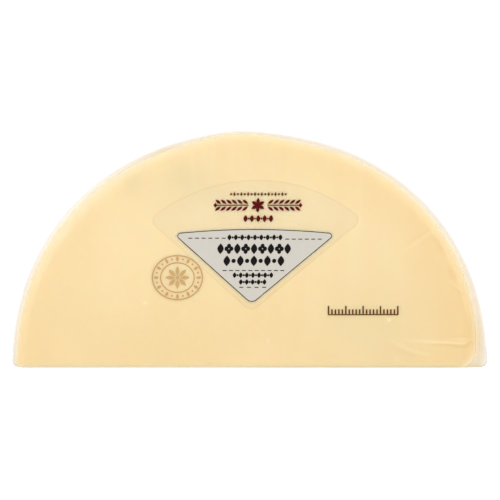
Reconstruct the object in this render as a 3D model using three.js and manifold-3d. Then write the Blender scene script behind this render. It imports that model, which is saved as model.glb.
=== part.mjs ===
// A half-moon of provolone, sealed in a tight clear bag, with a clear fan-shaped sticker on its face.
// It stands on the straight cut: +X runs along the cut, +Z is up, and the sticker looks along -Y.
// The origin is the middle of the foot. All sizes are in millimetres.

import * as THREE from "three";
import { mergeVertices } from "three/addons/utils/BufferGeometryUtils.js";
import Module from "manifold-3d";

const wasm = await Module();
wasm.setup();

// The bag's outline is half of a superellipse: an exponent of 2 would make it a true half circle.
const BAG_WIDTH = 154;
const ARCH_HEIGHT = 75.75;
const BAG_SQUARENESS = 2.107;
const BAG_FOOT_CORNER = 2;
const OUTLINE_STEPS = 96;
// Near its crown the cheese stands a little prouder than the arch, over this reach.
const CROWN_X = -4;
const CROWN_RISE = 0.8;
const CROWN_REACH = 13;

// The slab of cheese inside it.
const SLAB_THICKNESS = 17.5;
const RIM_ROUNDING = 3.5;
const RIM_STEPS = 5;
const CUT_ROUNDING = 1.8;
const SLAB_LEFT_CORNER = 2.2;
const SLAB_RIGHT_CORNER = 5;

// The bag's welded seam stands out from the slab in a thin fin, all round the curve.
const FIN_WIDTH = 1.35;
const FIN_THICKNESS = 0.8;
const FIN_RIPPLE = 0.4;
const FIN_RIPPLES = 13;
// The bag is drawn tight over the crown, and the fin is narrower there by this much.
const CROWN_DRAW = 1;
// At the right-hand end of the cut there is spare bag, and the fin is wider by this much.
const SPARE_WIDTH = 3.2;
const SPARE_REACH = 20;

// The sticker is a fan: two straight edges that rise from its tip, under a shallow arc.
const STICKER_THICKNESS = 0.3;
const STICKER_GAP = 0.1;
const STICKER_X = 0.5;
const STICKER_TIP_Z = 17.9;
const STICKER_HEIGHT = 42.65;
const STICKER_ARC_RADIUS = 52.6;
const STICKER_EDGE_SLOPE = THREE.MathUtils.degToRad(40.8);
const STICKER_CORNER = 2.5;
const STICKER_TIP_ROUNDING = 3;
// The sticker leans to the right, by this share of the height above its tip.
const STICKER_LEAN = 0.045;
const ARC_STEPS = 8;

const X = new THREE.Vector3(1, 0, 0);
const Y = new THREE.Vector3(0, 1, 0);
const Z = new THREE.Vector3(0, 0, 1);

const sealedCheeseFinish = new THREE.MeshStandardMaterial({
  color: 0xfae0ad,
  roughness: 0.3,
  metalness: 0,
});
const stickerFinish = new THREE.MeshStandardMaterial({
  color: 0xf5deb0,
  roughness: 0.2,
  metalness: 0,
});

// How near a place on the outline is to the crown: 1 at the crown itself, and 0 far from it.
function nearCrown(x) {
  return Math.exp(-(((x - CROWN_X) / CROWN_REACH) ** 2));
}

// A point of the bag's outline. Turn 0 is the right-hand end of the cut, and PI the left-hand end.
function bagPoint(turn) {
  const across = Math.cos(turn);
  const up = Math.max(Math.sin(turn), 0);
  const power = 2 / BAG_SQUARENESS;
  const x = (BAG_WIDTH / 2) * Math.sign(across) * Math.abs(across) ** power;
  return new THREE.Vector2(x, ARCH_HEIGHT * up ** power + CROWN_RISE * nearCrown(x));
}

// The direction straight out of the outline at one of its points.
function outwardAt(point) {
  const power = BAG_SQUARENESS - 1;
  const across = Math.abs(point.x / (BAG_WIDTH / 2)) ** power / (BAG_WIDTH / 2);
  const up = (point.y / ARCH_HEIGHT) ** power / ARCH_HEIGHT;
  return new THREE.Vector2(Math.sign(point.x) * across, up).normalize();
}

// How far the fin stands out from the slab at a point of the bag's outline.
function finWidthAt(point) {
  const fromSpareCorner = Math.hypot(point.x - BAG_WIDTH / 2, point.y);
  const spare = SPARE_WIDTH * Math.exp(-fromSpareCorner / SPARE_REACH);
  return FIN_WIDTH - CROWN_DRAW * nearCrown(point.x) + spare;
}

// The slab's outline follows the bag's, one fin's width inside it.
function slabPoint(turn) {
  const onBag = bagPoint(turn);
  return onBag.addScaledVector(outwardAt(onBag), -finWidthAt(onBag));
}

// The slab's outline from end to end, running on below the cut.
function slabShape() {
  const below = -2 * RIM_ROUNDING;
  const points = [];
  for (let step = 0; step <= OUTLINE_STEPS; step++) {
    points.push(slabPoint((Math.PI * step) / OUTLINE_STEPS));
  }
  const right = points[0].x;
  const left = points[OUTLINE_STEPS].x;
  points.push(new THREE.Vector2(left, below), new THREE.Vector2(right, below));
  return new THREE.Shape(points);
}

// The turn at which the bag's outline has reached a small height above the foot.
function turnAtHeight(height) {
  return Math.asin((height / ARCH_HEIGHT) ** (BAG_SQUARENESS / 2));
}

// The bag's flat outline, with rounded corners at the two ends of the foot.
function bagShape() {
  const cornerTurn = turnAtHeight(BAG_FOOT_CORNER);
  const reach = bagPoint(cornerTurn).x - BAG_FOOT_CORNER;
  const shape = new THREE.Shape();
  shape.absarc(reach, BAG_FOOT_CORNER, BAG_FOOT_CORNER, -Math.PI / 2, 0);
  for (let step = 1; step < OUTLINE_STEPS; step++) {
    const share = step / OUTLINE_STEPS;
    const point = bagPoint(cornerTurn + share * (Math.PI - 2 * cornerTurn));
    shape.lineTo(point.x, point.y);
  }
  shape.absarc(-reach, BAG_FOOT_CORNER, BAG_FOOT_CORNER, Math.PI, 1.5 * Math.PI);
  return shape;
}

// A profile that trims the foot of the slab between two sides, with a rounding up to each side.
// Above the roundings it is wider than the slab, so that it trims nothing else.
function footShape(low, high, lowRounding, highRounding) {
  const spare = RIM_ROUNDING;
  const top = ARCH_HEIGHT + CROWN_RISE + spare;
  const shape = new THREE.Shape();
  shape.absarc(high - highRounding, highRounding, highRounding, -Math.PI / 2, 0);
  shape.lineTo(high + spare, highRounding);
  shape.lineTo(high + spare, top);
  shape.lineTo(low - spare, top);
  shape.lineTo(low - spare, lowRounding);
  shape.absarc(low + lowRounding, lowRounding, lowRounding, Math.PI, 1.5 * Math.PI);
  return shape;
}

// A fan whose sharp tip would be at the origin: it rises along +Y under an arc centred below it.
function fanShape() {
  const slope = STICKER_EDGE_SLOPE;
  const arcCentreY = STICKER_HEIGHT - STICKER_ARC_RADIUS;
  const edge = new THREE.Vector2(Math.cos(slope), Math.sin(slope));
  const inward = new THREE.Vector2(-edge.y, edge.x);
  // The corner's centre is one rounding in from the edge, and one rounding inside the arc.
  const start = inward.clone().multiplyScalar(STICKER_CORNER).sub(new THREE.Vector2(0, arcCentreY));
  const along = edge.dot(start);
  const innerRadius = STICKER_ARC_RADIUS - STICKER_CORNER;
  const reach = Math.sqrt(along ** 2 - start.lengthSq() + innerRadius ** 2) - along;
  const corner = inward.clone().multiplyScalar(STICKER_CORNER).addScaledVector(edge, reach);
  const arcTurn = Math.atan2(corner.y - arcCentreY, corner.x);
  const tipY = STICKER_TIP_ROUNDING / Math.cos(slope);

  const shape = new THREE.Shape();
  shape.absarc(0, tipY, STICKER_TIP_ROUNDING, -Math.PI / 2 - slope, slope - Math.PI / 2);
  shape.absarc(corner.x, corner.y, STICKER_CORNER, slope - Math.PI / 2, arcTurn);
  shape.absarc(0, arcCentreY, STICKER_ARC_RADIUS, arcTurn, Math.PI - arcTurn);
  shape.absarc(-corner.x, corner.y, STICKER_CORNER, Math.PI - arcTurn, 1.5 * Math.PI - slope);
  return shape;
}

// Stands a geometry that was extruded along Z up on its foot, with its thickness along -Y.
function standUp(geometry) {
  return geometry.rotateX(Math.PI / 2);
}

function solidOf(geometry) {
  const bare = geometry.index ? geometry.toNonIndexed() : geometry.clone();
  bare.deleteAttribute("normal");
  bare.deleteAttribute("uv");
  const { attributes, index } = mergeVertices(bare, 1e-4);
  const triVerts = new Uint32Array(index.array);
  const vertProperties = attributes.position.array;
  return new wasm.Manifold(new wasm.Mesh({ numProp: 3, vertProperties, triVerts }));
}

function geometryOf(solid) {
  const { vertProperties, triVerts } = solid.getMesh();
  const geometry = new THREE.BufferGeometry();
  geometry.setAttribute("position", new THREE.BufferAttribute(vertProperties, 3));
  geometry.setIndex(new THREE.BufferAttribute(triVerts, 1));
  geometry.computeVertexNormals();
  return geometry;
}

// The slab, with its rind edge rounded towards both faces.
function slab() {
  const depth = SLAB_THICKNESS - 2 * RIM_ROUNDING;
  const geometry = new THREE.ExtrudeGeometry(slabShape(), {
    depth,
    bevelThickness: RIM_ROUNDING,
    bevelSize: RIM_ROUNDING,
    bevelOffset: -RIM_ROUNDING,
    bevelSegments: RIM_STEPS,
  });
  return solidOf(standUp(geometry.translate(0, 0, -depth / 2)));
}

// A foot profile drawn out evenly to both sides of the middle, still lying along Z.
function footBar(shape, depth) {
  const geometry = new THREE.ExtrudeGeometry(shape, {
    depth,
    bevelEnabled: false,
    curveSegments: RIM_STEPS,
  });
  return geometry.translate(0, 0, -depth / 2);
}

// Rounds the slab's foot along both faces.
function faceTrim() {
  const half = SLAB_THICKNESS / 2;
  const alongX = new THREE.Matrix4().makeBasis(Y, Z, X);
  const bar = footBar(footShape(-half, half, CUT_ROUNDING, CUT_ROUNDING), BAG_WIDTH);
  return solidOf(bar.applyMatrix4(alongX));
}

// Rounds the slab's foot at its two ends. Each rounding meets the slab's outline at its own height.
function endTrim() {
  const left = slabPoint(Math.PI - turnAtHeight(SLAB_LEFT_CORNER)).x;
  const right = slabPoint(turnAtHeight(SLAB_RIGHT_CORNER)).x;
  const shape = footShape(left, right, SLAB_LEFT_CORNER, SLAB_RIGHT_CORNER);
  return solidOf(standUp(footBar(shape, 2 * SLAB_THICKNESS)));
}

// The two films of the bag, welded in the middle of the slab's thickness. The weld ripples a
// little towards both faces, and lies straight again at the foot.
function fin() {
  const geometry = new THREE.ExtrudeGeometry(bagShape(), {
    depth: FIN_THICKNESS,
    bevelEnabled: false,
    curveSegments: RIM_STEPS,
  });
  standUp(geometry.translate(0, 0, -FIN_THICKNESS / 2));
  const place = geometry.getAttribute("position");
  for (let i = 0; i < place.count; i++) {
    const turn = Math.atan2(place.getZ(i), place.getX(i));
    const ripple = FIN_RIPPLE * Math.sin(2 * FIN_RIPPLES * turn) * Math.sin(turn);
    place.setY(i, place.getY(i) + ripple);
  }
  return solidOf(geometry);
}

function sealedCheese() {
  const solid = slab().intersect(faceTrim()).intersect(endTrim()).add(fin());
  const mesh = new THREE.Mesh(geometryOf(solid), sealedCheeseFinish);
  mesh.name = "sealed_cheese";
  return mesh;
}

function frontSticker() {
  const geometry = new THREE.ExtrudeGeometry(fanShape(), {
    depth: STICKER_THICKNESS,
    bevelEnabled: false,
    curveSegments: ARC_STEPS,
  });
  const lean = new THREE.Matrix4().makeShear(0, 0, 0, 0, STICKER_LEAN, 0);
  const mesh = new THREE.Mesh(standUp(geometry).applyMatrix4(lean), stickerFinish);
  mesh.name = "front_sticker";
  mesh.position.set(STICKER_X, -SLAB_THICKNESS / 2 - STICKER_GAP, STICKER_TIP_Z);
  return mesh;
}

const cheesePack = new THREE.Group();
cheesePack.add(sealedCheese(), frontSticker());

export default cheesePack;
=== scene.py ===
# %% [markdown]
# # A half-moon of provolone in a sealed clear bag
#
# A dairy cuts a round of provolone into slabs and halves each slab. A machine lays the half-moon
# between two clear films, pulls the air out, and welds the films together round the curve. The
# film then lies on the cheese like a skin, and stands away from it only in a thin welded fin.
#
# The imported model gives the place and the size of the whole, so it is loaded first. Its box is
# kept.

# %% Load the imported model
import math

import bmesh
import bpy
import numpy as np
from mathutils import Matrix, Vector


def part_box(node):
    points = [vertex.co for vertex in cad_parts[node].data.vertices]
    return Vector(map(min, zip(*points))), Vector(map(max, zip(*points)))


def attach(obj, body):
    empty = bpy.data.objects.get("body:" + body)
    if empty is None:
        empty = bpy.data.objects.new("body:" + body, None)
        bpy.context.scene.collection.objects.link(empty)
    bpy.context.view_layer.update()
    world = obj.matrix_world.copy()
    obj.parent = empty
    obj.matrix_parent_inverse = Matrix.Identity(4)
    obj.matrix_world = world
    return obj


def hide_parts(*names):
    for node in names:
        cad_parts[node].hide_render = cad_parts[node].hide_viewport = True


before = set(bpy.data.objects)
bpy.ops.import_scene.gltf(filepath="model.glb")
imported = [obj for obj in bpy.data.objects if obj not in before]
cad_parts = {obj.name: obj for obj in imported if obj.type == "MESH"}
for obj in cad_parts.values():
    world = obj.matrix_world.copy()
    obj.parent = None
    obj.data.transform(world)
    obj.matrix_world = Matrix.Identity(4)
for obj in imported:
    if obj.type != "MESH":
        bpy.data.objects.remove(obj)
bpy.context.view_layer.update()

MM = 0.001
RIGHT_ANGLE = math.pi / 2

bag_low, bag_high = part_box("sealed_cheese")
HALF_WIDTH = (bag_high.x - bag_low.x) / 2
HEIGHT = bag_high.z
HALF_THICKNESS = bag_high.y
print("bag in mm:", [round(side / MM, 2) for side in (2 * HALF_WIDTH, 2 * HALF_THICKNESS, HEIGHT)])

# %% [markdown]
# ## The camera
#
# The pack is seen square on, from far away through a long lens, so that its rounded rim
# hides as little as possible of the fin behind it. The camera comes first, because every later
# choice is judged through it. It stands level, and its height puts the foot low in the frame.

# %% Place the camera
LENS_MM = 250
SENSOR_MM = 36
VIEW_WIDTH = 162.1 * MM
CAMERA_X = 0.1 * MM
CAMERA_HEIGHT = 38 * MM

camera_data = bpy.data.cameras.new("long_lens")
camera_data.lens = LENS_MM
camera_data.sensor_width = SENSOR_MM
camera_distance = VIEW_WIDTH * LENS_MM / SENSOR_MM
camera = bpy.data.objects.new("camera", camera_data)
camera.location = (CAMERA_X, -camera_distance, CAMERA_HEIGHT)
camera.rotation_euler = (RIGHT_ANGLE, 0, 0)
bpy.context.collection.objects.link(camera)
bpy.context.scene.camera = camera
print("camera distance in m:", round(camera_distance, 3))

# %% [markdown]
# ## The outline
#
# The half-moon isn't quite a half circle: its shoulders are a little fuller, as in a
# superellipse with an exponent just over 2. An outline is easiest to use here as a reach: how
# far it is from the middle of the foot at each turn, from 0 at the right-hand end of the cut to
# half a turn at the left-hand end. The slab's outline is the bag's, less the width of the fin.

# %% Work out the bag's reach and the fin's width
ARCH_HEIGHT = 75.75 * MM
SQUARENESS = 2.107
CROWN_X = -4 * MM
CROWN_RISE = 0.8 * MM
CROWN_REACH = 13 * MM
FIN_WIDTH = 1.35 * MM
CROWN_DRAW = 1.0 * MM
SPARE_WIDTH = 3.2 * MM
SPARE_REACH = 20 * MM


def bell(distance, reach):
    """1 at no distance, and falling smoothly to almost 0 at twice the reach."""
    return np.exp(-((distance / reach) ** 2))


def arch_reach(turn):
    """The reach of the plain arch, with sharp corners at the foot."""
    across = np.abs(np.cos(turn)) / HALF_WIDTH
    up = np.clip(np.sin(turn), 0, 1) / ARCH_HEIGHT
    return (across**SQUARENESS + up**SQUARENESS) ** (-1 / SQUARENESS)


def near_crown(turn):
    """1 at the crown, where the cheese stands a little prouder than the arch, 0 far from it."""
    return bell(arch_reach(turn) * np.cos(turn) - CROWN_X, CROWN_REACH)


def free_reach(turn):
    return arch_reach(turn) + CROWN_RISE * near_crown(turn)


def fin_width(turn):
    """The fin's width: drawn tight at the crown, with spare bag at the right-hand foot."""
    reach = arch_reach(turn)
    from_spare_corner = np.hypot(reach * np.cos(turn) - HALF_WIDTH, reach * np.sin(turn))
    spare = SPARE_WIDTH * np.exp(-from_spare_corner / SPARE_REACH)
    return FIN_WIDTH - CROWN_DRAW * near_crown(turn) + spare


print("fin in mm at the right, the crown and the left:",
      (fin_width(np.array([0, RIGHT_ANGLE, math.pi])) / MM).round(2))

# %% Round the corners at the foot
BAG_FOOT_CORNER = 2 * MM
SLAB_RIGHT_CORNER = 5 * MM
SLAB_LEFT_CORNER = 2.2 * MM


def with_round_feet(outline, *corners):
    """An outline with its two corners at the foot rounded, the right-hand one first."""
    at = np.arctan2(corners, HALF_WIDTH)
    ends = outline(np.array([at[0], math.pi - at[1]])) * np.cos(at)

    def rounded(turn):
        right = np.cos(turn) > 0
        corner = np.where(right, *corners)
        centre = np.where(right, *ends) - corner
        middle = centre * np.abs(np.cos(turn)) + corner * np.clip(np.sin(turn), 0, 1)
        reach = middle + np.sqrt(np.maximum(middle**2 - centre**2, 0))
        plain = outline(turn)
        return np.where(reach * np.sin(turn) < corner, np.minimum(reach, plain), plain)

    return rounded


bag_reach = with_round_feet(free_reach, BAG_FOOT_CORNER, BAG_FOOT_CORNER)
slab_reach = with_round_feet(
    lambda turn: free_reach(turn) - fin_width(turn), SLAB_RIGHT_CORNER, SLAB_LEFT_CORNER)
print("flat foot of the slab in mm:", (slab_reach(np.array([0, math.pi])) / MM).round(2))

# %% [markdown]
# ## The blank
#
# Cheese and film share one way of being made. A grid is stood up and extruded into a flat block
# whose two faces are rows of squares, and its sides are cut into rows. Each square ring of a
# face is then bent into a half-moon ring. That keeps the faces fine and even, without the thin
# fan of slivers that a capped outline has, so that small dents and folds can be pressed in.

# %% Make the blank


def half_moon_blank(rings, side_rows):
    """A closed block from -1 to 1 in x and y and from 0 to 1 in z, before it is bent."""
    bm = bmesh.new()
    bmesh.ops.create_grid(bm, x_segments=2 * rings, y_segments=rings, size=1)
    bmesh.ops.transform(bm, matrix=Matrix.Rotation(RIGHT_ANGLE, 4, "X"), verts=bm.verts)
    bmesh.ops.scale(bm, vec=(1, 1, 0.5), verts=bm.verts)
    bmesh.ops.translate(bm, vec=(0, -1, 0.5), verts=bm.verts)
    back = bmesh.ops.extrude_face_region(bm, geom=bm.faces[:], use_keep_orig=True)["geom"]
    back_points = [part for part in back if isinstance(part, bmesh.types.BMVert)]
    bmesh.ops.translate(bm, vec=(0, 2, 0), verts=back_points)
    through = [e for e in bm.edges if abs(e.verts[0].co.y - e.verts[1].co.y) > 1]
    bmesh.ops.subdivide_edges(bm, edges=through, cuts=side_rows - 1, use_grid_fill=True)
    bmesh.ops.recalc_face_normals(bm, faces=bm.faces)
    return bm


def points_of(mesh):
    """A mesh's points as three arrays: x, y and z."""
    flat = np.empty(3 * len(mesh.vertices))
    mesh.vertices.foreach_get("co", flat)
    return flat.reshape(-1, 3).T


def move_points(mesh, x, y, z):
    mesh.vertices.foreach_set("co", np.stack([x, y, z], axis=1).ravel())
    mesh.update()


def keep_on_mesh(mesh, name, values):
    """Stores one number at each point, for a material to read."""
    field = mesh.attributes.new(name, "FLOAT", "POINT")
    field.data.foreach_set("value", np.asarray(values, dtype=np.float32))


def sharpen(mesh, marked):
    """Shades the two sides of each edge between marked points apart."""
    ends = np.empty(2 * len(mesh.edges), dtype=np.int32)
    mesh.edges.foreach_get("vertices", ends)
    sharp = marked[ends.reshape(-1, 2)].all(axis=1)
    mesh.attributes.new("sharp_edge", "BOOLEAN", "EDGE").data.foreach_set("value", sharp)


# %% [markdown]
# ## Dents, creases and pleats
#
# A cut face is never flat: the wire leaves it a little hollow, and the vacuum presses the film
# into every dip. Broad dips are seeded sums of sine waves, and every layer of the pack follows
# them. The film adds its own marks: a few long creases, and short pleats where it is gathered
# round the rim. Sculpting would do too, but numbers can be repeated on film, cheese and sticker.
# The creases on the stickered face are placed one by one, those on the back at random.

# %% Make broad dips
SWELL_DEPTH = 0.2 * MM
SWELL_LENGTHS = (18 * MM, 55 * MM)
SWELL_WAVES = 9
SWELL_PEAK = 0.55
FACE_SEEDS = (11, 29)


def swell(x, z, seed):
    """How far a face dips: a seeded sum of waves, as a height from -SWELL_DEPTH to 0."""
    draw = np.random.default_rng(seed)
    total = np.zeros_like(x)
    for _ in range(SWELL_WAVES):
        heading, phase = draw.uniform(0, math.tau, 2)
        length = draw.uniform(*SWELL_LENGTHS)
        along = x * math.cos(heading) + z * math.sin(heading)
        total += np.sin(math.tau * along / length + phase)
    return SWELL_DEPTH * (np.clip(total / (SWELL_PEAK * SWELL_WAVES), -1, 1) - 1) / 2


# %% Press creases along lines
# Each crease has its points in mm across and up, its height in mm, its mark (from -1 for a
# groove, painted darker in the cheese as shade, to 1 for a ridge or scuff, which turns the film
# milky and the cheese lighter, partly as a painted highlight) and its half width in mm.
FRONT_CREASES = (
    (((36.1, 66), (35.4, 47), (33.2, 38.6), (31.9, 20)), 0, 0.28, 0.5),
    (((58.8, 45.1), (50.7, 40)), -0.04, -0.22, 0.4),
    (((59, 44.3), (54, 40.5), (47.2, 35.9)), 0.05, 0.38, 0.5),
    (((49, 9), (54.3, 8.6), (62, 8.2), (67.1, 7.9), (70.2, 8.1), (74.6, 9.2)),
     0.08, 0.6, 0.4),
    (((57, 7.6), (64.5, 7.3), (67.4, 6.8), (69.4, 6.8), (71.4, 7.5), (74.2, 8.2)),
     -0.06, -0.55, 0.42),
    (((64.5, 6.9), (69, 6.7), (73, 7.9)), -0.05, -0.6, 0.45),
    (((68.6, 7.2), (71, 8.2), (73.4, 8.6)), -0.04, -0.7, 0.35),
    (((64, 9.3), (72.5, 9.1)), 0.03, 0.4, 0.35),
    (((60, 10.3), (67, 9.9), (73, 10.3)), -0.03, -0.25, 0.4),
    (((44, 9.6), (51, 6), (59, 3.6)), 0.04, 0.45, 0.45),
    (((42.5, 8.6), (49.5, 5), (56, 2.8)), -0.03, -0.25, 0.45),
    (((69.5, 23), (70.6, 15), (71, 10)), 0.05, 0.35, 0.45),
    (((58.6, 43), (61, 39.8), (62.8, 36.2)), -0.02, -0.35, 1),
    (((63.6, 32.4), (65, 30.4), (66.6, 28.2)), -0.03, -0.4, 1),
    (((64, 27.4), (66, 26.3), (68.6, 24.2)), 0.04, 0.3, 0.4),
    (((64.2, 26.5), (66.4, 25.3), (68.8, 23.2)), -0.03, -0.35, 0.45),
    (((-18.9, 71), (-17.6, 57)), 0, 0.3, 0.6),
    (((-15.4, 72.5), (-14.9, 62)), 0, 0.2, 0.5),
    (((-11.5, 73), (-12.6, 60)), 0, 0.3, 0.6),
    (((-5, 73.5), (-5.6, 64)), 0, 0.2, 0.6),
)
CREASE_TAPER = 0.6


def crease_field(x, z, creases):
    """The height of all creases at each point, and their mark: 1 on a ridge, -1 in a groove."""
    height, mark = np.zeros_like(x), np.zeros_like(x)
    for points, top, full_mark, half_width in creases:
        route = np.array(points) * MM
        steps = np.linalg.norm(np.diff(route, axis=0), axis=1)
        run = np.concatenate([[0], np.cumsum(steps)])
        nearest = np.full_like(x, np.inf)
        place = np.zeros_like(x)
        for (ax, az), (bx, bz), before, step in zip(route[:-1], route[1:], run[:-1], steps):
            share = ((x - ax) * (bx - ax) + (z - az) * (bz - az)) / step**2
            share = np.clip(share, 0, 1)
            gap = np.hypot(x - ax - share * (bx - ax), z - az - share * (bz - az))
            closer = gap < nearest
            nearest = np.where(closer, gap, nearest)
            place = np.where(closer, (before + share * step) / run[-1], place)
        taper = np.sin(math.pi * np.clip(place, 0, 1)) ** CREASE_TAPER
        profile = taper * bell(nearest, half_width * MM)
        height += top * MM * profile
        strength = full_mark * profile
        mark = np.where(np.abs(strength) > np.abs(mark), strength, mark)
    return height, mark


# %% Draw the back's creases at random
BACK_CREASES = 9
BACK_CREASE_SEED = 5
BACK_CREASE_FROM_FOOT = 0.15
BACK_CREASE_FROM_RIM = 4
BACK_CREASE_LENGTHS = (8, 26)
BACK_CREASE_BENDS = (-0.25, 0.25)
BACK_CREASE_HEIGHTS = (0.04, 0.11)
BACK_CREASE_HALF_WIDTH = 0.6
MARK_PER_MM = 5


def random_creases(count, seed):
    """Bent creases that start near the curve and run inwards, seeded."""
    draw = np.random.default_rng(seed)
    made = []
    for _ in range(count):
        turn = draw.uniform(BACK_CREASE_FROM_FOOT, math.pi - BACK_CREASE_FROM_FOOT)
        start = slab_reach(np.array([turn]))[0] / MM - BACK_CREASE_FROM_RIM
        length, bend_by = draw.uniform(*BACK_CREASE_LENGTHS), draw.uniform(*BACK_CREASE_BENDS)
        points = []
        for share in (0, 0.5, 1):
            reach, at = start - length * share, turn + bend_by * share**2
            points.append((reach * math.cos(at), reach * math.sin(at)))
        top = draw.choice((-1, 1)) * draw.uniform(*BACK_CREASE_HEIGHTS)
        made.append((tuple(points), top, MARK_PER_MM * top, BACK_CREASE_HALF_WIDTH))
    return tuple(made)


back_creases = random_creases(BACK_CREASES, BACK_CREASE_SEED)
print("creases:", len(FRONT_CREASES), "in front,", len(back_creases), "behind")

# %% Gather short pleats round the rim
PLEATS = 18
PLEAT_SEEDS = (41, 67)
PLEAT_HEIGHTS = (0.03, 0.08)
PLEAT_WIDTHS = (0.45, 1.1)
PLEAT_REACHES = (2, 7)
PLEAT_LEANS = (-0.5, 0.5)
PLEAT_FROM_FOOT = 0.02


def pleat_field(turn, from_rim, reach, seed):
    """Short radial folds that fade out on the way from the rim into the face."""
    draw = np.random.default_rng(seed)
    height = np.zeros_like(turn)
    for _ in range(PLEATS):
        at = draw.uniform(PLEAT_FROM_FOOT, math.pi - PLEAT_FROM_FOOT)
        top, width, length = (draw.uniform(*span) * MM for span in
                              (PLEAT_HEIGHTS, PLEAT_WIDTHS, PLEAT_REACHES))
        lean = draw.uniform(*PLEAT_LEANS)
        inward = np.maximum(from_rim, 0)
        aside = (turn - at) * reach + lean * inward
        height += top * bell(aside, width) * bell(inward, length)
    return height


print("pleats on each face:", PLEATS)

# %% [markdown]
# ## Bending a blank into a half-moon
#
# Each point of the blank has a ring, from 0 in the middle of the foot to 1 at the rim, and a
# turn round it. The outermost rings roll over the rounded edge, and the rows of the side close
# it. On the film the rows in the middle of the side are pinched together and drawn outwards, so
# that the two films really fold out of the shell into the welded fin. The foot stays flat.

# %% Find the ring and the turn of each point
RIM_RINGS = 8
RIM_ROUNDING = 3.5 * MM
SOFT_RIM = 1.3 * MM
SOFT_RIM_TURN = math.radians(122)
SOFT_RIM_SPREAD = math.radians(24)
CUT_ROUNDING = 1.8 * MM
FADE_AT_FOOT = 4 * MM


def ring_and_turn(u, v):
    ring = np.maximum(np.abs(u), v)
    sideways = np.abs(u) >= v
    along = np.where(sideways, np.where(u > 0, v, 4 * ring - v), 2 * ring - u)
    return ring, RIGHT_ANGLE / 2 * along / np.maximum(ring, 1e-9)


def rim_rounding(turn):
    """The rounding of the rim: broader at the upper left, where the rind is softest."""
    return RIM_ROUNDING + SOFT_RIM * bell(turn - SOFT_RIM_TURN, SOFT_RIM_SPREAD)


print("rounding of the rim in mm, at the right and where it is softest:",
      (rim_rounding(np.array([0, SOFT_RIM_TURN])) / MM).round(2))

# %% Shape the seam
# From the weld's edge (0) out to the face (1): how far the film is drawn out, as a share of the
# fin's width, and how thick the pack is there, as a share of the side's own thickness.
SEAM_ROWS = np.arange(9) / 8
SEAM_DRAWN_OUT = (1, 0.85, 0.7, 0.58, 0.46, 0.34, 0.22, 0.11, 0)
SEAM_THICKNESS = (0, 0.02, 0.05, 0.17, 0.32, 0.48, 0.65, 0.82, 1)
LEAVES_RIM_AT = math.radians(77)
FIN_RIPPLE = 0.4 * MM
FIN_RIPPLES = 13
print("rows of the seam on each side:", len(SEAM_ROWS))

# %% Add the dips, creases and pleats up
PLEAT_MARK_HEIGHT = 0.3 * MM


def relief(x, z, turn, from_rim, towards, is_film):
    """The height of the dips, on the film also of creases and pleats, and the creases' mark."""
    front = towards < 0
    lift = np.where(front, *(swell(x, z, seed) for seed in FACE_SEEDS))
    in_front, behind = crease_field(x, z, FRONT_CREASES), crease_field(x, z, back_creases)
    creases, mark = (np.where(front, a, b) for a, b in zip(in_front, behind))
    if not is_film:
        return lift, mark
    reach = np.hypot(x, z)
    pleat = np.where(front, *(pleat_field(turn, from_rim, reach, seed) for seed in PLEAT_SEEDS))
    return lift + creases + pleat, mark + pleat / PLEAT_MARK_HEIGHT


# %% [markdown]
# ## Milk, painted light and fat
#
# Where the film stands off the cheese it looks milky. The fin's milk is the cheese's own fat,
# smeared between the films: whiter where they lie loose, duller near the foot, yellow at the
# lower right, and greyer in one spot at the upper left, which is a painted shadow. On ridges
# and pleats the film is milkier, partly as a painted highlight. The cheese's rim is painted paler
# as a highlight where it rounds away. This could be painted by hand, but fields with one number
# at each point of the mesh follow the rim by themselves.

# %% Find where the film lies loose and where it clings
LOOSE_TURN = math.radians(138)
LOOSE_SPREAD = math.radians(30)
CROWN_LOOSENESS = 0.45
WET_SPREADS = (math.radians(32), math.radians(18))


def looseness(turn):
    """1 at the upper left, where the film lies loosest, and 0 where it is tight."""
    loose = bell(turn - LOOSE_TURN, LOOSE_SPREAD)
    return np.maximum(loose, CROWN_LOOSENESS * near_crown(turn))


def wetness(turn):
    """1 at both ends of the foot, where the film clings to the cheese, and 0 far from them."""
    right, left = WET_SPREADS
    return bell(turn, right) + bell(math.pi - turn, left)


# %% Spread the milk in the film
# Each table has places and the milk there. On the fin a place is a share of the fin's width, from
# -1 at its edge to 0 at the slab. Further in it is the distance from the fin in mm.
MILK_BY_PLACE = ((-1, -0.75, -0.4, 0, 0.4, 1.5, 5), (0.12, 0.20, 0.28, 0.28, 0.09, 0.03, 0.012))
LOOSE_BY_PLACE = ((-1, -0.3, 0, 0.8), (0, 1, 1, 0))
FAT_BY_PLACE = ((-1, -0.8, -0.3, 0, 0.5), (0, 0.7, 1.2, 1.6, 0))
SMEAR_BY_PLACE = ((-0.6, -0.25, 0.2, 1), (0, 1, 1, 0))
DULL_BY_PLACE = ((-1, -0.6, -0.2), (1, 0.7, 0))
WHITE_BY_PLACE = ((-0.3, 0.1), (0, 1))
POCKET_SHADOW_BY_PLACE = ((0, 0.8), (0.6, 0))
LOOSE_MILK = 0.2
SPARE_MILK = 0.32
SPARE_WHITENESS_LOSS = 0.8
WET_WHITENESS_LOSS = 0.85
LOW_CORNER_HEIGHT = 9 * MM
LOW_CORNER_MILK_LOSS = 0.5
LOW_CORNER_WETNESS_LOSS = 0.8
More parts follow.
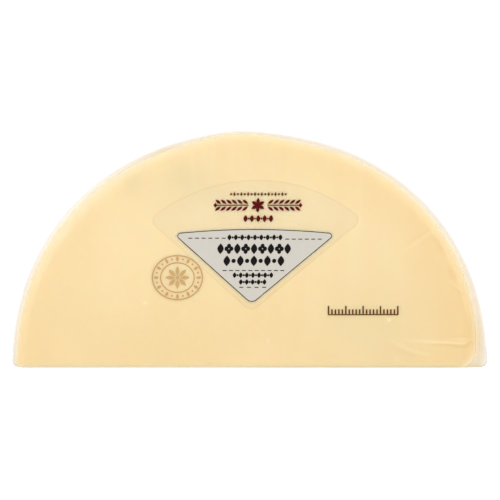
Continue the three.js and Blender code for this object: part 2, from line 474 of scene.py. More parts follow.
# A painted shadow: greyer, less white milk in the fin at the upper left, near 112 degrees.
POCKET_SHADOW_TURN = math.radians(112)
POCKET_SHADOW_SPREAD = math.radians(5)
POCKET_SHADOW_MILK = 0.08
SMEAR_TURN = math.radians(7.5)
SMEAR_SPREAD = math.radians(4.5)
SMEAR_MILK = 0.17
FOOT_MILK = 0.3
FOOT_MILK_HEIGHT = 1.6 * MM
DULL_MILK_SHARE = 0.06
DULL_HEIGHT = 26 * MM
DULL_LEFT, DULL_RIGHT = 0.7, 0.5
DULL_FURTHER_IN = 0.4
# Ridges and pleats make the film milkier: partly a real fold, partly a painted highlight.
CREASE_MILK_AND_HIGHLIGHT = 0.12


def milkiness(rim_mm, turn, z, mark):
    """The film's fields: its share of milk, and how white, dull, creased (partly a painted
    highlight) or smeared that is, with a painted shadow at the upper left.
    """
    width = bag_reach(turn) - slab_reach(turn)
    place = np.where(rim_mm > 0, rim_mm, rim_mm * MM / width)
    loose, low, left = looseness(turn), bell(z, LOW_CORNER_HEIGHT), turn > RIGHT_ANGLE
    spare = np.clip((fin_width(turn) - FIN_WIDTH) / SPARE_WIDTH, 0, 1)
    # Painted shadow: greyer milk at the upper left of the fin.
    pocket_shadow = bell(turn - POCKET_SHADOW_TURN, POCKET_SHADOW_SPREAD)
    fat = SPARE_MILK * spare * (1 - LOW_CORNER_MILK_LOSS * low) + POCKET_SHADOW_MILK * pocket_shadow
    smear = SMEAR_MILK * bell(turn - SMEAR_TURN, SMEAR_SPREAD) * np.interp(place, *SMEAR_BY_PLACE)
    # Milkier film on ridges and pleats, partly a painted highlight.
    fold = CREASE_MILK_AND_HIGHLIGHT * mark
    further_in = place - np.where(left, DULL_FURTHER_IN, 0)
    dull = bell(z, DULL_HEIGHT) * np.interp(further_in, *DULL_BY_PLACE)
    milk = (np.interp(place, *MILK_BY_PLACE) + fat * np.interp(place, *FAT_BY_PLACE)
            + LOOSE_MILK * loose * np.interp(place, *LOOSE_BY_PLACE)
            + FOOT_MILK * np.clip(1 - z / FOOT_MILK_HEIGHT, 0, 1) ** 2
            + DULL_MILK_SHARE * dull + fold + smear)
    wet = WET_WHITENESS_LOSS * bell(turn, WET_SPREADS[0]) * (1 - LOW_CORNER_WETNESS_LOSS * low)
    in_pocket_shadow = pocket_shadow * np.interp(place, *POCKET_SHADOW_BY_PLACE)
    white = np.maximum(np.interp(place, *WHITE_BY_PLACE), loose)
    white = white * (1 - np.maximum.reduce([SPARE_WHITENESS_LOSS * spare, in_pocket_shadow, wet]))
    return {"milk": milk, "whiteness": white, "fold_and_highlight": fold / milk, "smeared": smear / milk,
            "dull": np.where(left, DULL_LEFT, DULL_RIGHT) * dull}


# %% Paint a highlight and shade on the rim of the cheese and mark its face
# Widths are in mm. The deeper band is painted shade just inside the rim, where the face turns
# away, more on the right: it rises and falls over distances from the rim, and has its share by
# place across. The pale rim is a painted highlight, broader where the film is loose and at the
# lower right corner, and weaker near the ends of the foot. The spots have a place across and up
# and a size in mm, and a strength. Specks are bits of fat under the film, grey patches are soft
# and faint.
# The rim's painted highlight and the rind are laid weaker near the ends of the foot by this share.
FOOT_END_LOSS = 0.5
RIM_HIGHLIGHT_SHARE = 0.22
RIM_HIGHLIGHT_WIDTH = 2.2
RIM_HIGHLIGHT_FALL = 1.3
LOOSE_RIM_HIGHLIGHT = 0.22
LOOSE_RIM_HIGHLIGHT_WIDTH = 2.6
CORNER_RIM_HIGHLIGHT = 0.34
CORNER_RIM_HIGHLIGHT_WIDTH = 2.2
CORNER_RIM_HIGHLIGHT_HEIGHT = 5.5 * MM
RIND_SHARE = 0.4
RIND_WIDTH = 2.2
# Painted shade: the band just inside the rim, where the face turns away, deeper on the right.
RIM_SHADE_RISE, RIM_SHADE_FALL = (0.5, 3.5), (22, 4)
RIM_SHADE_BY_SIDE = ((0, 50 * MM), (0.2, 0.45))
GOLDEN_SHARE = 0.5
GOLDEN_PLACE = 2.1
GOLDEN_WIDTH = 1.4
GOLDEN_Z = 12.5 * MM
GOLDEN_HEIGHT = 9 * MM
# The share of the specks of fat and of the painted highlight on ridges.
FAT_AND_HIGHLIGHT_SHARE = 0.7
SPECKS = ((-33.7, 21, 0.5, 1), (-3.4, 12.3, 0.5, 0.3), (5.9, 8.8, 0.5, 0.75),
          (44.8, 15.5, 0.5, 1.2), (42.1, 19.2, 0.5, 0.8), (47.4, 2.6, 0.5, 0.5))
GREY_PATCHES = ((-37.7, 59.5, 3.5, 0.3), (-22, 62, 5, 0.24), (-15, 60, 7, 0.26),
           (-27, 55, 9, 0.18), (2, 61, 14, 0.12), (38, 44, 20, 0.08),
           (40, 9, 20, 0.25), (69.5, 2.5, 4, 0.2))


def smooth_step(values, low, high):
    share = np.clip((values - low) / (high - low), 0, 1)
    return share**2 * (3 - 2 * share)


def spots(x, z, places):
    """A field of round soft spots."""
    return sum(strength * bell(np.hypot(x / MM - at_x, z / MM - at_z), size)
               for at_x, at_z, size, strength in places)


def curd_fields(x, z, turn, front, rim_mm, mark):
    """The cheese's fields: painted shade in a band inside its rind and in its grooves, painted
    highlights on its ridges and rim, and its other marks.
    """
    away_from_foot_ends, loose = 1 - FOOT_END_LOSS * wetness(turn), looseness(turn)
    right, inward = x > 0, np.maximum(rim_mm, 0)
    # Painted highlight along the rim, where it rounds away; broader where the film is loose.
    rim_highlight = np.clip(1 - inward / (RIM_HIGHLIGHT_WIDTH + LOOSE_RIM_HIGHLIGHT_WIDTH * loose), 0, 1) ** RIM_HIGHLIGHT_FALL
    corner = right * bell(inward, CORNER_RIM_HIGHLIGHT_WIDTH) * bell(z, CORNER_RIM_HIGHLIGHT_HEIGHT)
    # Painted shade just inside the rim, where the face turns away from the light.
    band = smooth_step(rim_mm, *RIM_SHADE_RISE) * smooth_step(rim_mm, *RIM_SHADE_FALL)
    golden = right * bell(rim_mm - GOLDEN_PLACE, GOLDEN_WIDTH) * bell(z - GOLDEN_Z, GOLDEN_HEIGHT)
    # Ridges are painted lighter, as a highlight where they catch the light; the specks are real
    # bits of fat.
    fat_and_ridge_highlight = np.maximum(mark, 0) + front * spots(x, z, SPECKS)
    return {
        "band": band * np.interp(x, *RIM_SHADE_BY_SIDE),
        "groove": np.maximum(-mark, 0),
        "rim_highlight": (RIM_HIGHLIGHT_SHARE * away_from_foot_ends + LOOSE_RIM_HIGHLIGHT * loose) * rim_highlight + CORNER_RIM_HIGHLIGHT * corner,
        "rind": RIND_SHARE * away_from_foot_ends * smooth_step(inward, RIND_WIDTH, 0),
        "golden": GOLDEN_SHARE * golden,
        "fat_and_ridge_highlight": FAT_AND_HIGHLIGHT_SHARE * np.clip(fat_and_ridge_highlight, 0, 1),
        "grey_patch": front * spots(x, z, GREY_PATCHES),
    }


print("specks:", len(SPECKS), "grey_patches:", len(GREY_PATCHES))

# %% Bend the blank
ALMOST = 1 - 1e-4


def bend(mesh, rings, inset, is_film):
    """Bends a blank into the half-moon, inset from the film's surface, and keeps its fields."""
    u, through, v = points_of(mesh)
    ring, turn = ring_and_turn(u, v)
    towards = np.sign(through)
    on_side = np.abs(through) < ALMOST

    slab, rounding = slab_reach(turn) - inset, rim_rounding(turn)
    start = 1 - RIM_RINGS / rings
    full_roll = LEAVES_RIM_AT if is_film else RIGHT_ANGLE
    roll = full_roll * np.clip((ring - start) / (1 - start), 0, 1)
    on_face = (slab - rounding) * ring / start
    reach = np.where(ring < start, on_face, slab - rounding * (1 - np.sin(roll)))
    half = HALF_THICKNESS - inset - rounding * (1 - np.cos(roll))
    below = np.clip(CUT_ROUNDING - reach * np.sin(turn), 0, CUT_ROUNDING)
    half_at_foot = HALF_THICKNESS - inset - CUT_ROUNDING + np.sqrt(CUT_ROUNDING**2 - below**2)
    half = np.minimum(half, half_at_foot)

    y = through * half
    drawn_out = np.zeros_like(y)
    if is_film:
        fin = (ring > ALMOST) & on_side
        row = np.abs(through)
        drawn_out = np.where(fin, np.interp(row, SEAM_ROWS, SEAM_DRAWN_OUT), 0)
        thickness = np.interp(row, SEAM_ROWS, SEAM_THICKNESS) * half
        ripple = FIN_RIPPLE * np.sin(2 * FIN_RIPPLES * turn) * np.sin(turn)
        y = np.where(fin, towards * thickness + drawn_out * ripple, y)
        reach = reach + drawn_out * (bag_reach(turn) - reach)
        sharpen(mesh, drawn_out == 1)

    x, z = reach * np.cos(turn), reach * np.sin(turn)
    lift, mark = relief(x, z, turn, slab - reach, towards, is_film)
    fade = np.clip(z / FADE_AT_FOOT, 0, 1) ** 2 * (1 - drawn_out)
    lift, outward = lift * fade, np.sin(roll)
    x, z = x + lift * outward * np.cos(turn), z + lift * outward * np.sin(turn)
    y = y + lift * towards * np.cos(roll) * ~on_side
    z = inset + z * (HEIGHT - inset) / HEIGHT
    move_points(mesh, x, y, z)

    rim_mm, mark = (slab - reach) / MM, np.clip(mark, -1, 1) * fade
    if is_film:
        fields = milkiness(rim_mm, turn, z, np.maximum(mark, 0))
    else:
        fields = curd_fields(x, z, turn, through < 0, rim_mm, mark)
    for name, values in fields.items():
        keep_on_mesh(mesh, name, values)
    print(mesh.name, "fields:", ", ".join(fields))


# %% [markdown]
# ## Adding pieces and materials
#
# Each piece becomes an object at the origin with smooth shading, rides on the pack's one body,
# and takes its material. Colours are written as the sRGB values that
# a paint program shows, and one function turns them to the linear light that shaders mix in.

# %% Helpers for pieces and nodes


def add_piece(name, mesh, material, smooth=True):
    piece = bpy.data.objects.new(name, mesh)
    bpy.context.collection.objects.link(piece)
    mesh.materials.append(material)
    mesh.polygons.foreach_set("use_smooth", [smooth] * len(mesh.polygons))
    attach(piece, "root")
    mesh.calc_loop_triangles()
    print(name, len(mesh.loop_triangles), "triangles")
    return piece


def linear(colour):
    """A hex colour such as "#FAE0AD" as linear red, green, blue and alpha."""
    channels = [int(colour[i : i + 2], 16) / 255 for i in (1, 3, 5)]
    return (*(c / 12.92 if c <= 0.04045 else ((c + 0.055) / 1.055) ** 2.4 for c in channels), 1)


def add_node(tree, kind, inputs=None, **settings):
    """Adds a node with its settings. An input takes a value, or a socket or node to link to."""
    node = tree.nodes.new(kind)
    for name, value in settings.items():
        setattr(node, name, value)
    for name, value in (inputs or {}).items():
        if isinstance(value, bpy.types.Node):
            value = value.outputs[0]
        if isinstance(value, bpy.types.NodeSocket):
            tree.links.new(value, node.inputs[name])
        else:
            node.inputs[name].default_value = value
    return node


def new_material(name):
    """An empty material, its node tree and its Object coordinates."""
    material = bpy.data.materials.new(name)
    material.use_nodes = True
    tree = material.node_tree
    tree.nodes.clear()
    print("material:", name)
    return material, tree, add_node(tree, "ShaderNodeTexCoord").outputs["Object"]


# %% [markdown]
# ## The cheese
#
# Provolone is a stretched curd, salted and aged: dense, ivory to straw yellow, with a faint
# greasy sheen. Light enters it a few millimetres, which softens every edge. Its colour drifts
# over a couple of centimetres, and its rind is paler. One colour would look like wax, so layers
# are laid over a base, as a painter glazes, each by its own share. Some layers are painted
# light: the top is laid paler as if lit from above, a band just inside the rind, the grooves and
# the foot are laid darker as painted shade, and ridges and the rim paler as painted highlights.

# %% Mix the provolone
PROVOLONE = "#ECD5A2"
# Pale curd for the mottling, also laid over the top as painted light, as if lit from above.
PALE_CURD_AND_TOP_LIGHT = "#F5E2B6"
# Painted shade in the grooves of creases.
GROOVE_SHADE = "#DFC48C"
# Bits of fat, and the painted highlight laid on ridges.
FAT_AND_RIDGE_HIGHLIGHT = "#FFF4D0"
# Painted shade along the foot, where the rounded cut edge turns down.
FOOT_SHADE = "#E4D5AA"
FOOT_SHADE_FROM, FOOT_SHADE_TO = 0.3 * MM, 2.6 * MM
# Deeper curd for the streaks, also laid as painted shade in the band just inside the rim.
DEEP_CURD_AND_RIM_SHADE = "#EBCB8F"
RIND = "#F8E2B6"
GOLDEN_RIM = "#DFBC76"
# Painted highlight along the rim.
RIM_HIGHLIGHT = "#FFF6E4"
GREY_PATCH = "#DACDA2"
MOTTLE_SIZE = 24 * MM
MOTTLE_SHARE = 0.4
STREAK_SIZE = 6 * MM
STREAK_STRETCH = 0.12
STREAK_SHARE = 0.2
# Painted top light: the curd is laid paler from the foot up, as if more light fell on the top.
TOP_LIGHT_SHARE = 0.87
TOP_LIGHT_FROM, TOP_LIGHT_TO = -5 * MM, 60 * MM
GRAIN_SIZE = 1.2 * MM
GRAIN_DEPTH = 0.02 * MM
# The Mix node has several sockets of the same name, so its colour ones go by number.
MIX_A, MIX_B, MIX_COLOUR = 6, 7, 2


def lay_over(tree, colour, layers):
    """A colour with others laid over it in turn, each by its share: a node or a field's name."""
    for share, over in layers:
        if isinstance(share, str):
            share = add_node(tree, "ShaderNodeAttribute", attribute_name=share).outputs["Fac"]
        mixed = add_node(tree, "ShaderNodeMix", {0: share, MIX_A: colour, MIX_B: linear(over)},
                         data_type="RGBA")
        colour = mixed.outputs[MIX_COLOUR]
    return colour


def provolone():
    material, tree, place = new_material("aged_provolone")
    mottle = add_node(tree, "ShaderNodeTexNoise", {
        "Vector": place, "Scale": 1 / MOTTLE_SIZE, "Detail": 3, "Roughness": 0.5})
    pale = add_node(tree, "ShaderNodeMapRange", {
        "Value": mottle, "From Min": 0.45, "From Max": 0.75, "To Max": MOTTLE_SHARE})
    stretch = add_node(tree, "ShaderNodeMapping", {
        "Vector": place, "Scale": (1, 1, STREAK_STRETCH)})
    streaks = add_node(tree, "ShaderNodeTexNoise", {
        "Vector": stretch, "Scale": 1 / STREAK_SIZE, "Detail": 2})
    streaky = add_node(tree, "ShaderNodeMapRange", {
        "Value": streaks, "From Min": 0.5, "From Max": 0.8, "To Max": STREAK_SHARE})

    sides = add_node(tree, "ShaderNodeSeparateXYZ", {"Vector": place})
    # Painted light: the curd is laid paler towards the top, as if lit from above.
    crown = add_node(tree, "ShaderNodeMapRange", {
        "Value": sides.outputs["Z"], "From Min": TOP_LIGHT_FROM, "From Max": TOP_LIGHT_TO,
        "To Max": TOP_LIGHT_SHARE}, interpolation_type="SMOOTHSTEP")
    # Painted shade: the curd is laid darker along the foot, where the rounded cut edge turns down.
    foot_shade = add_node(tree, "ShaderNodeMapRange", {
        "Value": sides.outputs["Z"], "From Min": FOOT_SHADE_FROM, "From Max": FOOT_SHADE_TO,
        "To Min": 1, "To Max": 0}, interpolation_type="SMOOTHSTEP")

    # Laid over the base: real mottling, streaks, grey patches and specks, and painted light: the
    # paler top, painted shade in the band, the grooves and along the foot, and painted highlights
    # on ridges and the rim.
    curd = lay_over(tree, linear(PROVOLONE), (
        (crown, PALE_CURD_AND_TOP_LIGHT), (pale, PALE_CURD_AND_TOP_LIGHT), (streaky, DEEP_CURD_AND_RIM_SHADE), ("band", DEEP_CURD_AND_RIM_SHADE),
        ("grey_patch", GREY_PATCH), ("groove", GROOVE_SHADE), ("fat_and_ridge_highlight", FAT_AND_RIDGE_HIGHLIGHT), (foot_shade, FOOT_SHADE),
        ("golden", GOLDEN_RIM), ("rind", RIND), ("rim_highlight", RIM_HIGHLIGHT)))
    grain = add_node(tree, "ShaderNodeTexNoise", {
        "Vector": place, "Scale": 1 / GRAIN_SIZE, "Detail": 2})
    bump = add_node(tree, "ShaderNodeBump", {
        "Height": grain, "Distance": GRAIN_DEPTH, "Strength": 0.6})
    cheese = add_node(tree, "ShaderNodeBsdfPrincipled", {
        "Base Color": curd, "Roughness": 0.5, "Specular IOR Level": 0.3,
        "Subsurface Weight": 0.8, "Subsurface Radius": (1, 0.7, 0.35),
        "Subsurface Scale": 2.5 * MM, "Normal": bump})
    add_node(tree, "ShaderNodeOutputMaterial", {"Surface": cheese})
    return material


# %% [markdown]
# The slab sits a tenth of a millimetre inside the film. It is a blank, bent, whose fields tell
# the material where it is grooved, grey or pale, and where shade and highlights are painted.

# %% Make the slab of cheese
SLAB_INSET = 0.12 * MM
SLAB_RINGS = 140
SLAB_SIDE_ROWS = 10


def half_moon(name, rings, side_rows, inset, is_film):
    bm = half_moon_blank(rings, side_rows)
    mesh = bpy.data.meshes.new(name)
    bm.to_mesh(mesh)
    bm.free()
    bend(mesh, rings, inset, is_film)
    return mesh


slab_mesh = half_moon("cheese_slab", SLAB_RINGS, SLAB_SIDE_ROWS, SLAB_INSET, False)
add_piece("cheese_slab", slab_mesh, provolone())

# %% [markdown]
# ## The film
#
# The bag is cast polyamide and polyethylene film, a tenth of a millimetre thick, clear and
# glossy. It mirrors a little where it is seen square on and a lot at the rim. Where it stands off
# the cheese, is folded, or is welded to the other film, it scatters light and looks milky. Glass
# would bend light, which so thin a skin doesn't, so clear, mirror and milk are mixed instead.

# %% Cast the film
FILM_TINT = "#FEFDFB"
FATTY_MILK = "#EBD9B1"
AIRY_MILK = "#FBF5E8"
FOLD_MILK_AND_HIGHLIGHT = "#FFF0C2"
DULL_MILK = "#D9CDB2"
SMEARED_FAT = "#FFE096"
FILM_MIRROR = 0.04
EDGE_ON_MIRROR = 0.2
FILM_ROUGHNESS = 0.2
RIPPLE_SIZE = 7 * MM
RIPPLE_DEPTH = 0.05 * MM
FRESNEL_POWER = 5
LIT_THROUGH = 0.15


def clear_film(name, square_on_mirror, tint, haze, haze_colour, layers=()):
    """A thin clear film. Its haze is a share or a field's name, and layers lie on its colour."""
    material, tree, place = new_material(name)
    wrinkle = add_node(tree, "ShaderNodeTexNoise", {
        "Vector": place, "Scale": 1 / RIPPLE_SIZE, "Detail": 3, "Roughness": 0.45})
    bump = add_node(tree, "ShaderNodeBump", {
        "Height": wrinkle, "Distance": RIPPLE_DEPTH, "Strength": 0.5})
    facing = add_node(tree, "ShaderNodeLayerWeight", {"Blend": 0.5})
    edge_on = add_node(tree, "ShaderNodeMath", {
        0: facing.outputs["Facing"], 1: FRESNEL_POWER}, operation="POWER")
    mirror = add_node(tree, "ShaderNodeMapRange", {
        "Value": edge_on, "To Min": square_on_mirror, "To Max": EDGE_ON_MIRROR})
    clear = add_node(tree, "ShaderNodeBsdfTransparent", {"Color": linear(tint)})
    gloss = add_node(tree, "ShaderNodeBsdfGlossy", {
        "Roughness": FILM_ROUGHNESS, "Normal": bump})
    film = add_node(tree, "ShaderNodeMixShader", {0: mirror, 1: clear, 2: gloss})
    if isinstance(haze, str):
        haze = add_node(tree, "ShaderNodeAttribute", attribute_name=haze).outputs["Fac"]
    colour = lay_over(tree, linear(haze_colour), layers)
    lit = add_node(tree, "ShaderNodeBsdfDiffuse", {"Color": colour})
    lit_through = add_node(tree, "ShaderNodeBsdfTranslucent", {"Color": colour})
    milky = add_node(tree, "ShaderNodeMixShader", {0: LIT_THROUGH, 1: lit, 2: lit_through})
    hazy = add_node(tree, "ShaderNodeMixShader", {0: haze, 1: film, 2: milky})
    add_node(tree, "ShaderNodeOutputMaterial", {"Surface": hazy})
    return material


# %% Make the bag
BAG_RINGS = 144
BAG_SIDE_ROWS = 16
# The milk on ridges and pleats is partly a painted highlight.
MILK_LAYERS = (("whiteness", AIRY_MILK), ("dull", DULL_MILK), ("smeared", SMEARED_FAT),
               ("fold_and_highlight", FOLD_MILK_AND_HIGHLIGHT))

bag_mesh = half_moon("clear_bag", BAG_RINGS, BAG_SIDE_ROWS, 0, True)
vacuum_film = clear_film("cast_vacuum_film", FILM_MIRROR, FILM_TINT, "milk", FATTY_MILK,
                         MILK_LAYERS)
bag = add_piece("clear_bag", bag_mesh, vacuum_film)
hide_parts("sealed_cheese")

# %% [markdown]
# ## The sticker
#
# A die cuts the sticker out of clear film as a fan: two straight edges that rise from a rounded
# tip, under a shallow arc. The arcs are spun from single points. The sticker was rubbed down on a
# face that isn't quite square to its edges, so it leans a little to the right. It is drawn flat
# first, in mm across and up from its tip, and then laid on the face with all its prints.

# %% Draw a fan
LABEL_X = 0.5 * MM
LABEL_TIP_Z = 17.9 * MM
LABEL_LEAN = 0.045
EDGE_SLOPE = math.radians(40.8)
ARC_STEPS = 24


def spin_arc(bm, start, centre, turn):
    """Spins one point round a centre, and returns the arc's points in order."""
    first = bm.verts.new((start[0], 0, start[1]))
    bmesh.ops.spin(bm, geom=[first], cent=(centre[0], 0, centre[1]), axis=(0, -1, 0),
                   angle=turn, steps=ARC_STEPS, use_duplicate=False)
    bm.verts.ensure_lookup_table()
    return bm.verts[-ARC_STEPS - 1:]


def fan_face(bm, height, arc_radius, corner, tip, foot=0):
    """One flat face in the shape of a fan, whose tip would be at (0, foot) if it were sharp."""
    along = np.array([math.cos(EDGE_SLOPE), math.sin(EDGE_SLOPE)])
    inward = np.array([-along[1], along[0]])
    arc_centre = np.array([0, height - arc_radius])
    from_centre = inward * corner - arc_centre
    back = along @ from_centre
    slide = math.sqrt(back**2 - from_centre @ from_centre + (arc_radius - corner) ** 2) - back
    corner_at = inward * corner + along * slide
    tip_at = np.array([0, tip / math.cos(EDGE_SLOPE)])
    rise = math.atan2(*(corner_at - arc_centre)[::-1])
    outward = np.array([math.cos(rise), math.sin(rise)])

    lift, mirror = np.array([0, foot]), np.array([-1, 1])
    corner_turn = rise - (EDGE_SLOPE - RIGHT_ANGLE)
    arcs = (
        (tip_at - inward * tip * mirror, tip_at, 2 * EDGE_SLOPE),
        (corner_at - inward * corner, corner_at, corner_turn),
        (arc_centre + arc_radius * outward, arc_centre, math.pi - 2 * rise),
        (mirror * (corner_at + corner * outward), mirror * corner_at, corner_turn),
    )
    outline = []
    for start, centre, turn in arcs:
        outline += spin_arc(bm, start + lift, centre + lift, turn)
    bmesh.ops.remove_doubles(bm, verts=bm.verts, dist=1e-4)
    face = bm.faces.new([point for point in outline if point.is_valid])
    face.normal_update()
    return face


# %% Lay flat work on the face
CUT_EVERY_MM = 2


def edge_off(bm, face, width):
    """Sets a band off along a face's edge, for the piece's second material."""
    band = bmesh.ops.inset_region(bm, faces=[face], thickness=width, use_even_offset=True,
                                  use_boundary=True)["faces"]
    for part in band:
        part.material_index = 1


def cut_in_cells(bm):
    """Cuts flat faces into cells, so that they can follow the face's dips."""
    for axis in (0, 2):
        places = [vert.co[axis] for vert in bm.verts]
        normal = [0, 0, 0]
        normal[axis] = 1
        first, last = (math.ceil(end / CUT_EVERY_MM) for end in (min(places), max(places)))
        for step in range(first, last):
            at = [0, 0, 0]
            at[axis] = step * CUT_EVERY_MM
            geometry = bm.verts[:] + bm.edges[:] + bm.faces[:]
            bmesh.ops.bisect_plane(bm, geom=geometry, plane_co=at, plane_no=normal, dist=1e-5)


def lay_on_face(name, bm, above, thickness, on_label=True):
    """Gives flat work its thickness and lays it on the face. Heights are in mm above the film."""
    raised = bmesh.ops.extrude_face_region(bm, geom=bm.faces[:], use_keep_orig=True)["geom"]
    raised = [part for part in raised if isinstance(part, bmesh.types.BMVert)]
    bmesh.ops.translate(bm, vec=(0, -thickness, 0), verts=raised)
    bmesh.ops.recalc_face_normals(bm, faces=bm.faces)
    mesh = bpy.data.meshes.new(name)
    bm.to_mesh(mesh)
    bm.free()
    across, depth, up = points_of(mesh) * MM
    x, z = across, up
    if on_label:
        x, z = LABEL_X + across + LABEL_LEAN * up, LABEL_TIP_Z + up
    turn, reach = np.arctan2(z, x), np.hypot(x, z)
    lift = relief(x, z, turn, slab_reach(turn) - reach, np.full_like(x, -1), True)[0]
    lift = lift * np.clip(z / FADE_AT_FOOT, 0, 1) ** 2
    move_points(mesh, x, -HALF_THICKNESS - lift - above * MM + depth, z)
    return mesh


# %% Make the clear sticker
LABEL_HEIGHT = 42.65
LABEL_ARC_RADIUS = 52.6
LABEL_CORNER = 2.5
LABEL_TIP = 3
DIE_CUT_EDGE = 0.35
LABEL_ABOVE = 0.04
LABEL_THICKNESS = 0.09
LABEL_MIRROR = 0.018
LABEL_TINT = "#FFFFFF"
LABEL_HAZE = 0.012
LABEL_MILK = "#FFF8F4"
# A darker tint at the die-cut edge: painted shade of the sticker's edge.
CUT_EDGE_SHADE_TINT = "#FEFCF9"

bm = bmesh.new()
label_face = fan_face(bm, LABEL_HEIGHT, LABEL_ARC_RADIUS, LABEL_CORNER, LABEL_TIP)
edge_off(bm, label_face, DIE_CUT_EDGE)
cut_in_cells(bm)
label_mesh = lay_on_face("clear_sticker", bm, LABEL_ABOVE, LABEL_THICKNESS)
label_film = clear_film("label_film", LABEL_MIRROR, LABEL_TINT, LABEL_HAZE, LABEL_MILK)
label = add_piece("clear_sticker", label_mesh, label_film, smooth=False)
# The die-cut edge is tinted a little darker, as painted shade of the edge.
cut_film = clear_film("die_cut_edge", LABEL_MIRROR, CUT_EDGE_SHADE_TINT, LABEL_HAZE, LABEL_MILK)
label_mesh.materials.append(cut_film)
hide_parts("front_sticker")

# %% [markdown]
# ## The printed panel
#
# The lower half of the sticker is printed light grey, as a smaller fan with a thin dark line
# round it. It could be an image, but screen ink is an opaque skin that can just be felt, so each
# print is a thin solid, with its own colour and a clean edge at any distance.

# %% Mix the inks
INK_GAP = 0.02
INK_ABOVE = LABEL_ABOVE + LABEL_THICKNESS + INK_GAP
INK_THICKNESS = 0.02
INK_BREAKUP = 0.5 * MM


def ink(name, colour, worn_colour):
    """A screen ink: opaque and satin, a little thinner in places the size of its mesh's dots."""
    material, tree, place = new_material(name)
    density = add_node(tree, "ShaderNodeTexNoise", {
        "Vector": place, "Scale": 1 / INK_BREAKUP, "Detail": 2})
    thin = add_node(tree, "ShaderNodeMapRange", {
        "Value": density, "From Min": 0.45, "From Max": 0.8, "To Max": 0.5})
    tone = lay_over(tree, linear(colour), ((thin, worn_colour),))
    skin = add_node(tree, "ShaderNodeBsdfPrincipled", {
        "Base Color": tone, "Roughness": 0.45, "Specular IOR Level": 0.05})
    add_node(tree, "ShaderNodeOutputMaterial", {"Surface": skin})
    return material


grey_ink = ink("grey_screen_ink", "#C8C3B9", "#CEC9BE")
black_ink = ink("black_screen_ink", "#151212", "#241F1D")
red_ink = ink("dark_red_screen_ink", "#560F0D", "#681A15")
brown_ink = ink("dark_brown_screen_ink", "#5A3302", "#7A4C0A")
gold_ink = ink("golden_brown_screen_ink", "#C69F64", "#D4AF76")

# %% Print the panel and its line
PANEL_FOOT = 2.69
PANEL_HEIGHT = 24.1
PANEL_ARC_RADIUS = 244
PANEL_CORNER = 1.0
PANEL_TIP = 2.4
PANEL_LINE = 0.24

bm = bmesh.new()
panel_face = fan_face(bm, PANEL_HEIGHT, PANEL_ARC_RADIUS, PANEL_CORNER, PANEL_TIP, PANEL_FOOT)
edge_off(bm, panel_face, PANEL_LINE)
cut_in_cells(bm)
panel_mesh = lay_on_face("grey_panel", bm, INK_ABOVE, INK_THICKNESS)
add_piece("grey_panel", panel_mesh, grey_ink, smooth=False)
panel_mesh.materials.append(black_ink)

# %% [markdown]
# ## The ornaments
#
# The prints are plain ornaments in the sizes and colours of lines of type: bands of leaves,
# lozenges and dots. Each motif starts as a small disc, which is cut to a lozenge, pinched
# into a leaf, or inset into a ring, and loops set the motifs in rows.

# %% Make the motifs
DISC_CORNERS, DOT_CORNERS, RING_CORNERS = 14, 8, 56
LEAF_PINCH = 0.75


def disc(bm, x, z, width, height, corners=DISC_CORNERS, turn=0.0, pinch=0.0):
    """A flat disc, squeezed to a width and a height, pinched at its ends and turned."""
    made = bmesh.ops.create_circle(bm, cap_ends=True, segments=corners, radius=0.5)["verts"]
    for vert in made:
        vert.co.y *= 1 - pinch * (2 * abs(vert.co.x)) ** 2
    place = (Matrix.Translation((x, 0, z)) @ Matrix.Rotation(-turn, 4, "Y")
             @ Matrix.Diagonal((width, 1, height, 1)) @ Matrix.Rotation(RIGHT_ANGLE, 4, "X"))
    bmesh.ops.transform(bm, matrix=place, verts=made)
    return made


def leaf(bm, x, z, length, width, turn):
    disc(bm, x, z, length, width, turn=turn, pinch=LEAF_PINCH)


def bar(bm, x, z, width, height):
    made = bmesh.ops.create_grid(bm, x_segments=1, y_segments=1, size=0.5)["verts"]
    place = (Matrix.Translation((x, 0, z)) @ Matrix.Diagonal((width, 1, height, 1))
             @ Matrix.Rotation(RIGHT_ANGLE, 4, "X"))
    bmesh.ops.transform(bm, matrix=place, verts=made)


def ring(bm, x, z, width, height, line):
    made = disc(bm, x, z, width, height, corners=RING_CORNERS)
    face = made[0].link_faces[0]
    bmesh.ops.inset_region(bm, faces=[face], thickness=line, use_even_offset=True,
                           use_boundary=True)
    bmesh.ops.delete(bm, geom=[face], context="FACES_ONLY")


def spread(count, width):
    """The centres of a number of motifs that are spread evenly over a width."""
    return [(i - (count - 1) / 2) * width / max(count - 1, 1) for i in range(count)]


def leaves_and_dots(bm, centre, z, count, width, leaf_size, dot):
    """A row of upright leaves with a dot between each two."""
    for i, x in enumerate(spread(count, width)):
        if i % 2:
            disc(bm, centre + x, z, dot, dot, DOT_CORNERS if dot < 1 else DISC_CORNERS)
        else:
            leaf(bm, centre + x, z, leaf_size[1], leaf_size[0], RIGHT_ANGLE)


def print_ink(name, bm, material, on_label=True):
    above = INK_ABOVE + 2 * INK_THICKNESS if on_label else LABEL_ABOVE
    mesh = lay_on_face(name, bm, above, INK_THICKNESS, on_label)
    add_piece(name, mesh, material, smooth=False)


